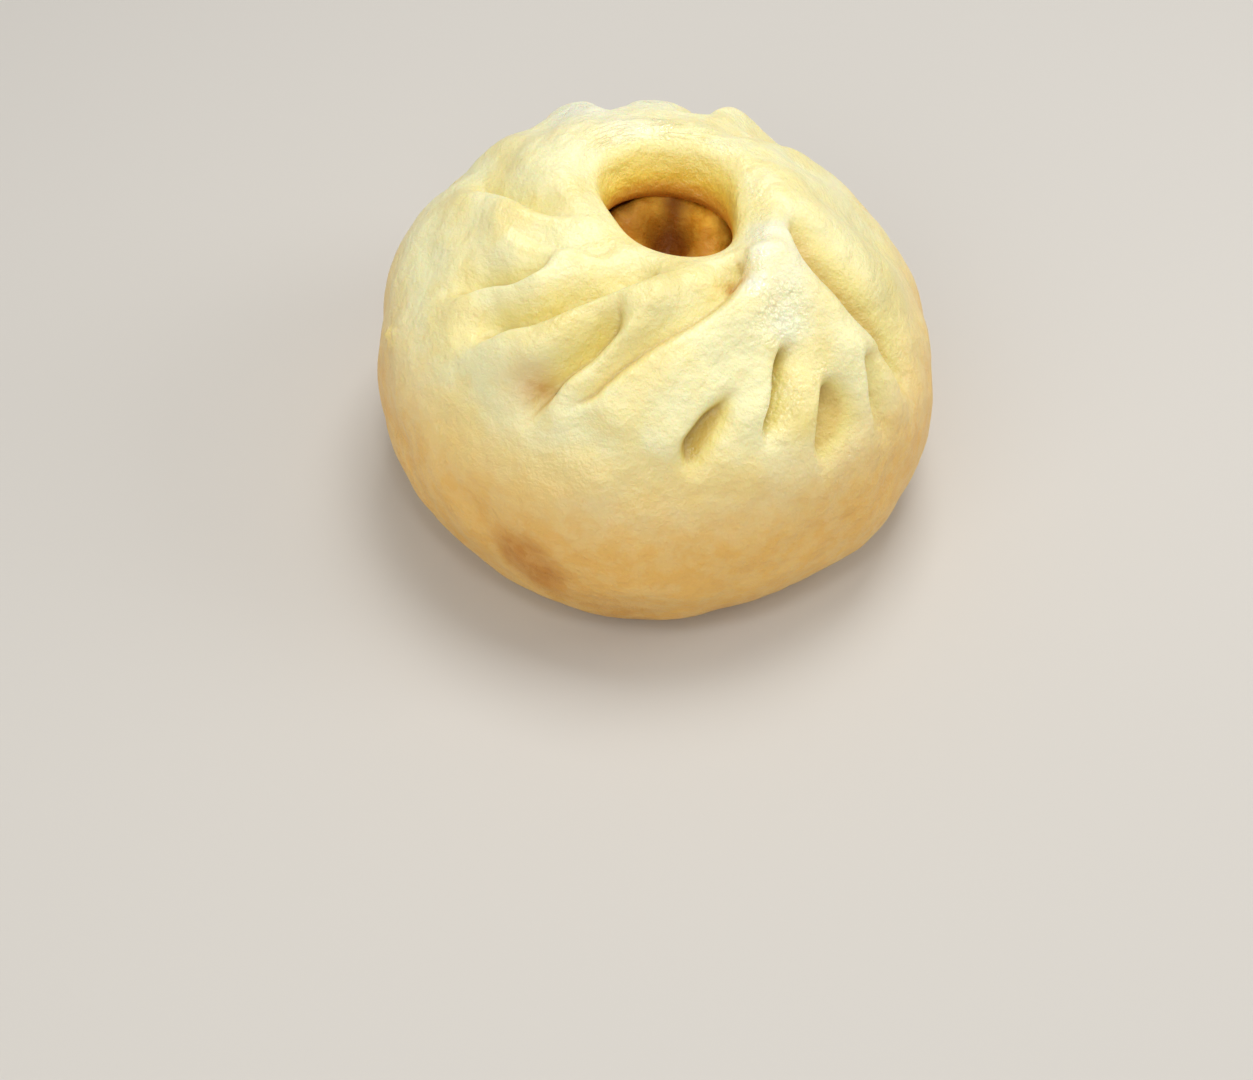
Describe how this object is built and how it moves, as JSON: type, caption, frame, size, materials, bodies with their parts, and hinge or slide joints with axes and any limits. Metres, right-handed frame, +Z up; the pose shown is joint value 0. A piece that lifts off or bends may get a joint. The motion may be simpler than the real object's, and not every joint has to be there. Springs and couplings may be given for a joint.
{
  "type": "steamed bun",
  "caption": "Round steamed bun of wheat dough, gathered into swirling folds round an open mouth that shows the meat filling.",
  "frame": {"origin": "middle of the flat foot, on the surface that the bun rests on", "axes": "+Z up through the dome, -Y towards the front of the bun, where the widest folds are"},
  "size_m": [0.0937, 0.0942, 0.0588],
  "materials": {
    "dough": "soft steamed dough, moist satin skin",
    "filling": "moist minced meat in juice"
  },
  "bodies": {
    "root": {"dough": "dough", "filling": "filling"}
  },
  "joints": []
}
